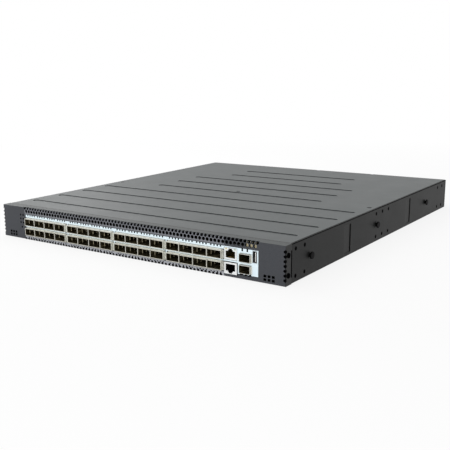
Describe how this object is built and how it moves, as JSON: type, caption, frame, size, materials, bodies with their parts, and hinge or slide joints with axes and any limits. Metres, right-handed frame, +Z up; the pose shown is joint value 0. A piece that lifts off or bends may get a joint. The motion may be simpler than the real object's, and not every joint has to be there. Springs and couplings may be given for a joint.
{
  "type": "ethernet switch",
  "caption": "Flat one-unit rack ethernet switch with two rows of pluggable optical ports, side service sockets, hot-swap fan trays and power supplies behind.",
  "frame": {"origin": "on the resting plane, under the middle of the whole box from the cages' noses to the rear handles", "axes": "+X right seen from the front, +Y to the back, +Z up"},
  "size_m": [0.4448, 0.543, 0.0435],
  "materials": {
    "body_paint": "fine matt powder coat",
    "cover_paint": "fine matt powder coat",
    "panel_paint": "fine matt powder coat",
    "label": "satin film",
    "cage_metal": "satin nickel plate",
    "zinc": "zinc plate",
    "fastener": "plated",
    "black_plastic": "matt",
    "clear_plastic": "clear",
    "board": "solder mask",
    "chip": "nickel lid",
    "sink": "anodised",
    "brass": "plated",
    "supply": "satin",
    "handle_blue": "satin"
  },
  "bodies": {
    "chassis": {"chassis_base": "body_paint", "front_panel": "panel_paint", "top_cover": "cover_paint", "label_overlay": "label", "port_cage_upper_1": "cage_metal", "port_cage_upper_2": "cage_metal", "port_cage_upper_3": "cage_metal", "port_cage_upper_4": "cage_metal", "port_cage_lower_1": "cage_metal", "port_cage_lower_2": "cage_metal", "port_cage_lower_3": "cage_metal", "port_cage_lower_4": "cage_metal", "cage_springs": "cage_metal", "port_connectors": "black_plastic", "sfp_cages": "cage_metal", "rj45_jacks": "zinc", "usb_port": "zinc", "light_pipes": "clear_plastic", "reset_switch": "black_plastic", "main_board": "board", "board_standoffs": "brass", "switch_chip": "chip", "switch_heatsink": "sink", "cpu_board": "board", "cpu_heatsink": "sink", "memory_module": "board", "power_inductors": "black_plastic", "fan_board": "board", "power_board": "board", "inner_frame": "zinc", "rail_studs": "fastener", "panel_screws": "fastener", "cover_screws": "fastener"},
    "button": {"reset_button": "black_plastic"},
    "tray_1": {"fan_tray_1": "zinc"},
    "rotor_1": {"fan_rotor_1": "black_plastic"},
    "latch_1": {"fan_latch_1": "handle_blue"},
    "tray_2": {"fan_tray_2": "zinc"},
    "rotor_2": {"fan_rotor_2": "black_plastic"},
    "latch_2": {"fan_latch_2": "handle_blue"},
    "tray_3": {"fan_tray_3": "zinc"},
    "rotor_3": {"fan_rotor_3": "black_plastic"},
    "latch_3": {"fan_latch_3": "handle_blue"},
    "tray_4": {"fan_tray_4": "zinc"},
    "rotor_4": {"fan_rotor_4": "black_plastic"},
    "latch_4": {"fan_latch_4": "handle_blue"},
    "tray_5": {"fan_tray_5": "zinc"},
    "rotor_5": {"fan_rotor_5": "black_plastic"},
    "latch_5": {"fan_latch_5": "handle_blue"},
    "tray_6": {"fan_tray_6": "zinc"},
    "rotor_6": {"fan_rotor_6": "black_plastic"},
    "latch_6": {"fan_latch_6": "handle_blue"},
    "supply_left": {"psu_case_left": "supply", "psu_inlet_left": "black_plastic"},
    "supply_rotor_left": {"psu_rotor_left": "black_plastic"},
    "supply_latch_left": {"psu_latch_left": "handle_blue"},
    "supply_right": {"psu_case_right": "supply", "psu_inlet_right": "black_plastic"},
    "supply_rotor_right": {"psu_rotor_right": "black_plastic"},
    "supply_latch_right": {"psu_latch_right": "handle_blue"}
  },
  "joints": [
    {"name": "reset_press", "type": "slide", "parent": "chassis", "child": "button", "axis": [0, 1, 0], "range_m": [0, 0.0005], "stiffness_N_per_m": 400, "springref_m": -0.002},
    {"name": "tray_1_slide", "type": "slide", "parent": "chassis", "child": "tray_1", "axis": [0, 1, 0], "range_m": [0, 0.1]},
    {"name": "rotor_1_spin", "type": "hinge", "parent": "tray_1", "child": "rotor_1", "pos_m": [-0.1395, 0.2277, 0.0215], "axis": [0, 1, 0], "continuous": true},
    {"name": "latch_1_press", "type": "hinge", "parent": "tray_1", "child": "latch_1", "pos_m": [-0.1153, 0.2255, 0.0215], "axis": [0, 0, 1], "range_deg": [0, 8], "stiffness_Nm_per_rad": 0.2, "springref_deg": -8.59},
    {"name": "tray_2_slide", "type": "slide", "parent": "chassis", "child": "tray_2", "axis": [0, 1, 0], "range_m": [0, 0.1]},
    {"name": "rotor_2_spin", "type": "hinge", "parent": "tray_2", "child": "rotor_2", "pos_m": [-0.08603, 0.2277, 0.0215], "axis": [0, 1, 0], "continuous": true},
    {"name": "latch_2_press", "type": "hinge", "parent": "tray_2", "child": "latch_2", "pos_m": [-0.06183, 0.2255, 0.0215], "axis": [0, 0, 1], "range_deg": [0, 8], "stiffness_Nm_per_rad": 0.2, "springref_deg": -8.59},
    {"name": "tray_3_slide", "type": "slide", "parent": "chassis", "child": "tray_3", "axis": [0, 1, 0], "range_m": [0, 0.1]},
    {"name": "rotor_3_spin", "type": "hinge", "parent": "tray_3", "child": "rotor_3", "pos_m": [-0.03257, 0.2277, 0.0215], "axis": [0, 1, 0], "continuous": true},
    {"name": "latch_3_press", "type": "hinge", "parent": "tray_3", "child": "latch_3", "pos_m": [-0.00837, 0.2255, 0.0215], "axis": [0, 0, 1], "range_deg": [0, 8], "stiffness_Nm_per_rad": 0.2, "springref_deg": -8.59},
    {"name": "tray_4_slide", "type": "slide", "parent": "chassis", "child": "tray_4", "axis": [0, 1, 0], "range_m": [0, 0.1]},
    {"name": "rotor_4_spin", "type": "hinge", "parent": "tray_4", "child": "rotor_4", "pos_m": [0.0209, 0.2277, 0.0215], "axis": [0, 1, 0], "continuous": true},
    {"name": "latch_4_press", "type": "hinge", "parent": "tray_4", "child": "latch_4", "pos_m": [0.0451, 0.2255, 0.0215], "axis": [0, 0, 1], "range_deg": [0, 8], "stiffness_Nm_per_rad": 0.2, "springref_deg": -8.59},
    {"name": "tray_5_slide", "type": "slide", "parent": "chassis", "child": "tray_5", "axis": [0, 1, 0], "range_m": [0, 0.1]},
    {"name": "rotor_5_spin", "type": "hinge", "parent": "tray_5", "child": "rotor_5", "pos_m": [0.07437, 0.2277, 0.0215], "axis": [0, 1, 0], "continuous": true},
    {"name": "latch_5_press", "type": "hinge", "parent": "tray_5", "child": "latch_5", "pos_m": [0.09857, 0.2255, 0.0215], "axis": [0, 0, 1], "range_deg": [0, 8], "stiffness_Nm_per_rad": 0.2, "springref_deg": -8.59},
    {"name": "tray_6_slide", "type": "slide", "parent": "chassis", "child": "tray_6", "axis": [0, 1, 0], "range_m": [0, 0.1]},
    {"name": "rotor_6_spin", "type": "hinge", "parent": "tray_6", "child": "rotor_6", "pos_m": [0.12783, 0.2277, 0.0215], "axis": [0, 1, 0], "continuous": true},
    {"name": "latch_6_press", "type": "hinge", "parent": "tray_6", "child": "latch_6", "pos_m": [0.15203, 0.2255, 0.0215], "axis": [0, 0, 1], "range_deg": [0, 8], "stiffness_Nm_per_rad": 0.2, "springref_deg": -8.59},
    {"name": "supply_left_slide", "type": "slide", "parent": "chassis", "child": "supply_left", "axis": [0, 1, 0], "range_m": [0, 0.232]},
    {"name": "supply_rotor_left_spin", "type": "hinge", "parent": "supply_left", "child": "supply_rotor_left", "pos_m": [-0.18855, 0.0347, 0.0213], "axis": [0, 1, 0], "continuous": true},
    {"name": "supply_latch_left_press", "type": "hinge", "parent": "supply_left", "child": "supply_latch_left", "pos_m": [-0.1645, 0.2255, 0.0213], "axis": [0, 0, 1], "range_deg": [0, 8], "stiffness_Nm_per_rad": 0.2, "springref_deg": -8.59},
    {"name": "supply_right_slide", "type": "slide", "parent": "chassis", "child": "supply_right", "axis": [0, 1, 0], "range_m": [0, 0.232]},
    {"name": "supply_rotor_right_spin", "type": "hinge", "parent": "supply_right", "child": "supply_rotor_right", "pos_m": [0.18855, 0.0347, 0.0213], "axis": [0, 1, 0], "continuous": true},
    {"name": "supply_latch_right_press", "type": "hinge", "parent": "supply_right", "child": "supply_latch_right", "pos_m": [0.2126, 0.2255, 0.0213], "axis": [0, 0, 1], "range_deg": [0, 8], "stiffness_Nm_per_rad": 0.2, "springref_deg": -8.59}
  ]
}
